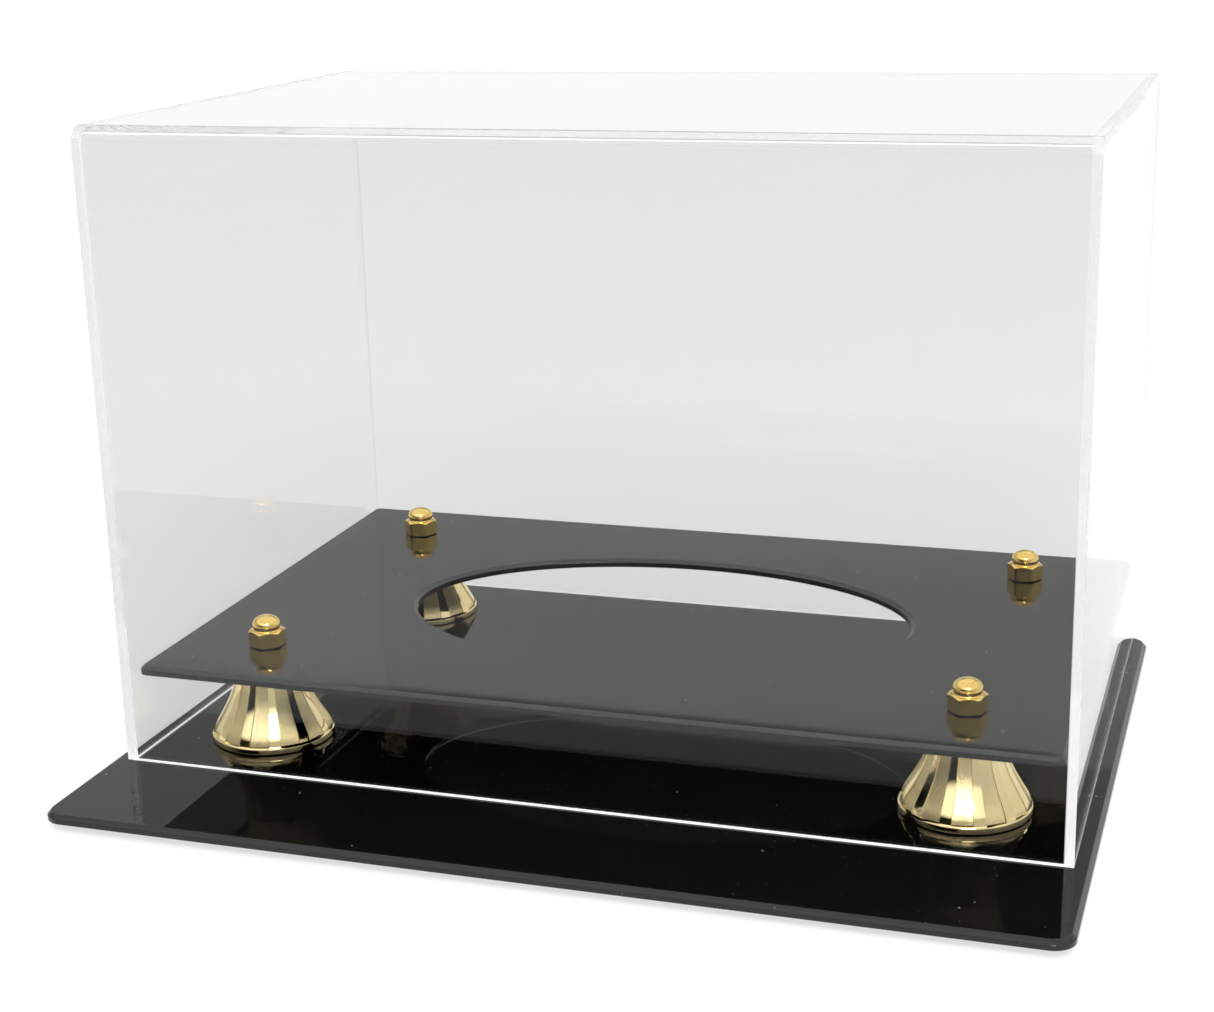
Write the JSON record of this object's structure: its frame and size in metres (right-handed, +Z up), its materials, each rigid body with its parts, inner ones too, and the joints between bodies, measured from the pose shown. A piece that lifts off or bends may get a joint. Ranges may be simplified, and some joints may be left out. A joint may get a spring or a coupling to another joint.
{
  "type": "football display case",
  "caption": "Clear box cover over a black base plate and a raised black platform with an oval ball cradle, standing on fluted gilt risers with cap nuts.",
  "frame": {"origin": "on the ground under the middle of the base plate", "axes": "+X to the right along the long side, +Y to the back, +Z up; the ledge in front of the cover is on the -Y side"},
  "size_m": [0.368, 0.287, 0.2471],
  "materials": {
    "black_acrylic": "polished black acrylic sheet",
    "clear_acrylic": "clear polished acrylic sheet",
    "gilt": "bright pale gold plating",
    "brass": "polished brass",
    "steel": "zinc-plated steel",
    "foot_rubber": "translucent soft bumper"
  },
  "bodies": {
    "base": {"base_plate": "black_acrylic", "platform": "black_acrylic", "riser_front_left": "gilt", "cap_nut_front_left": "brass", "screw_front_left": "steel", "foot_front_left": "foot_rubber", "riser_front_right": "gilt", "cap_nut_front_right": "brass", "screw_front_right": "steel", "foot_front_right": "foot_rubber", "riser_back_left": "gilt", "cap_nut_back_left": "brass", "screw_back_left": "steel", "foot_back_left": "foot_rubber", "riser_back_right": "gilt", "cap_nut_back_right": "brass", "screw_back_right": "steel", "foot_back_right": "foot_rubber"},
    "cover": {"cover_wrap": "clear_acrylic", "cover_end_left": "clear_acrylic", "cover_end_right": "clear_acrylic"}
  },
  "joints": [
    {"name": "cover_lift", "type": "slide", "parent": "base", "child": "cover", "axis": [0, 0, 1], "range_m": [0, 0.25]}
  ]
}
